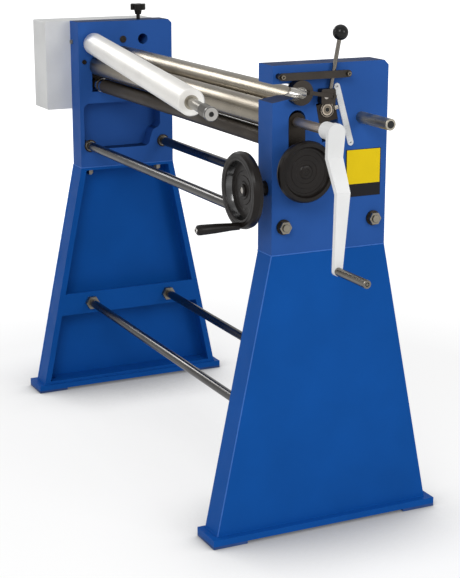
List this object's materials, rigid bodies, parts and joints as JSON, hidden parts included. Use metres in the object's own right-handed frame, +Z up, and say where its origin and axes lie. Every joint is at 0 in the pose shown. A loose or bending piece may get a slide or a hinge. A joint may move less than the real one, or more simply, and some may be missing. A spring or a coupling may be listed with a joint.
{
  "type": "slip roll machine",
  "caption": "Hand cranked sheet metal slip roll on two stands, with a swing-out upper roll, adjustable lower and rear rolls, latch lever, handwheels and gear cover.",
  "frame": {"origin": "on the floor, at the centre of the four floor anchor holes", "axes": "+X along the rolls towards the crank stand, +Y to the rear, +Z up"},
  "size_m": [1.6005, 0.5906, 1.089],
  "materials": {
    "black_plastic": "gloss",
    "blue_paint": "gloss",
    "bronze": "machined",
    "cover_paint": "satin",
    "dark_steel": "blackened",
    "machined_steel": "machined",
    "polished_steel": "polished",
    "white_paint": "gloss",
    "white_strip": "satin"
  },
  "bodies": {
    "frame": {"cover_posts": "machined_steel", "cover_screws": "machined_steel", "foot_soles": "blue_paint", "front_upper_tie_rod": "machined_steel", "gear_cover": "cover_paint", "head_stud_nuts": "machined_steel", "head_studs": "machined_steel", "kingpin_bracket": "machined_steel", "latch_strap": "dark_steel", "left_foot_plate": "blue_paint", "left_head": "blue_paint", "left_leg": "blue_paint", "lever_pivot_pin": "machined_steel", "lower_tie_rods": "machined_steel", "rear_upper_tie_rod": "machined_steel", "right_foot_plate": "blue_paint", "right_head": "blue_paint", "right_leg": "blue_paint", "scale_strip": "white_strip", "steel_peg": "polished_steel", "strap_screws": "machined_steel", "strap_spacers": "machined_steel", "tie_rod_nuts": "machined_steel", "tie_rod_washers": "machined_steel", "worm_bush": "dark_steel"},
    "swivel": {"swivel_yoke": "machined_steel", "kingpin": "machined_steel"},
    "upper_roll_body": {"upper_roll": "polished_steel", "upper_roll_journal": "polished_steel", "upper_roll_sleeve": "polished_steel", "upper_gear": "machined_steel"},
    "lower_slide": {"lower_slide_blocks": "machined_steel"},
    "lower_roll_body": {"lower_roll": "polished_steel", "lower_gear": "machined_steel", "crank_hub": "polished_steel", "crank_arm": "white_paint", "crank_grip_pin": "polished_steel"},
    "crank_grip_body": {"crank_grip": "polished_steel"},
    "lift_shaft_body": {"lift_shaft": "dark_steel", "lift_gear": "machined_steel", "lift_shaft_collars": "polished_steel"},
    "lift_wheel_body": {"lift_stub_shaft": "machined_steel", "lift_pinion": "machined_steel", "lower_handwheel": "black_plastic"},
    "rear_slide": {"rear_slide_blocks": "machined_steel", "scale_pointer": "polished_steel"},
    "rear_roll_body": {"rear_roll": "polished_steel"},
    "cross_shaft_body": {"rear_cross_shaft": "machined_steel", "rack_pinions": "machined_steel", "worm_wheel": "bronze"},
    "worm_body": {"worm_shaft": "machined_steel", "front_handwheel": "black_plastic", "front_handle_spindle": "polished_steel"},
    "front_handle_body": {"front_handle": "black_plastic"},
    "latch_ring_body": {"latch_ring": "dark_steel"},
    "latch_lever_body": {"lever_block": "dark_steel", "lever_rod": "polished_steel", "ball_knob": "black_plastic"},
    "latch_link_body": {"latch_link": "dark_steel"},
    "star_knob_body": {"star_knob": "black_plastic"}
  },
  "joints": [
    {"name": "upper_roll_swing", "type": "hinge", "parent": "frame", "child": "swivel", "pos_m": [-0.612, -0.0787, 0.957], "axis": [0, -0.1005, 0.9949], "range_deg": [0, 9.99]},
    {"name": "upper_roll_spin", "type": "hinge", "parent": "swivel", "child": "upper_roll_body", "pos_m": [-0.612, -0.0787, 0.957], "axis": [0.9848, -0.1726, -0.0174], "continuous": true},
    {"name": "lower_roll_lift", "type": "slide", "parent": "frame", "child": "lower_slide", "axis": [0, 0, 1], "range_m": [-0.0025, 0.0025]},
    {"name": "crank_spin", "type": "hinge", "parent": "lower_slide", "child": "lower_roll_body", "pos_m": [0, -0.0787, 0.896], "axis": [1, 0, 0], "continuous": true},
    {"name": "crank_grip_spin", "type": "hinge", "parent": "lower_roll_body", "child": "crank_grip_body", "pos_m": [0.796, -0.09349, 0.63141], "axis": [1, 0, 0], "continuous": true},
    {"name": "lift_wheel_turn", "type": "hinge", "parent": "frame", "child": "lift_wheel_body", "pos_m": [0.6, -0.0787, 0.8], "axis": [1, 0, 0], "range_deg": [-152.4, 152.4]},
    {"name": "lift_shaft_turn", "type": "hinge", "parent": "frame", "child": "lift_shaft_body", "pos_m": [0, -0.0787, 0.846], "axis": [1, 0, 0], "range_deg": [-60, 60]},
    {"name": "rear_roll_slide", "type": "slide", "parent": "frame", "child": "rear_slide", "axis": [0, -0.1994, 0.9799], "range_m": [-0.037, 0.0015]},
    {"name": "rear_roll_spin", "type": "hinge", "parent": "rear_slide", "child": "rear_roll_body", "pos_m": [0, -0.0105, 0.9173], "axis": [1, 0, 0], "continuous": true},
    {"name": "cross_shaft_turn", "type": "hinge", "parent": "frame", "child": "cross_shaft_body", "pos_m": [0, 0.04093, 0.811], "axis": [1, 0, 0], "range_deg": [-4.3, 106]},
    {"name": "front_wheel_turn", "type": "hinge", "parent": "frame", "child": "worm_body", "pos_m": [0.561, -0.181, 0.759], "axis": [0, -1, 0], "range_deg": [-86.5, 2121]},
    {"name": "front_handle_spin", "type": "hinge", "parent": "worm_body", "child": "front_handle_body", "pos_m": [0.57177, -0.193, 0.68781], "axis": [0, -1, 0], "continuous": true},
    {"name": "latch_lever_turn", "type": "hinge", "parent": "frame", "child": "latch_lever_body", "pos_m": [0.602, -0.022, 0.9465], "axis": [1, 0, 0], "range_deg": [0, 60]},
    {"name": "latch_ring_turn", "type": "hinge", "parent": "frame", "child": "latch_ring_body", "pos_m": [0.602, -0.0787, 0.957], "axis": [1, 0, 0], "range_deg": [0, 60]},
    {"name": "latch_link_turn", "type": "hinge", "parent": "latch_lever_body", "child": "latch_link_body", "pos_m": [0.614, -0.006, 0.9465], "axis": [1, 0, 0], "range_deg": [-60, 0]},
    {"name": "star_knob_turn", "type": "hinge", "parent": "frame", "child": "star_knob_body", "pos_m": [-0.561, 0.05, 1.03], "axis": [0, 0, 1], "range_deg": [-720, 720]}
  ],
  "couplings": [
    {"joint": "upper_roll_spin", "follows": "crank_spin", "ratio": -1},
    {"joint": "lift_shaft_turn", "follows": "lower_roll_lift", "rad_per_m": 403.07},
    {"joint": "lift_wheel_turn", "follows": "lower_roll_lift", "rad_per_m": -1023.2},
    {"joint": "cross_shaft_turn", "follows": "rear_roll_slide", "rad_per_m": -50},
    {"joint": "front_wheel_turn", "follows": "rear_roll_slide", "rad_per_m": -1000},
    {"joint": "latch_ring_turn", "follows": "latch_lever_turn", "ratio": 1},
    {"joint": "latch_link_turn", "follows": "latch_lever_turn", "ratio": -1}
  ]
}
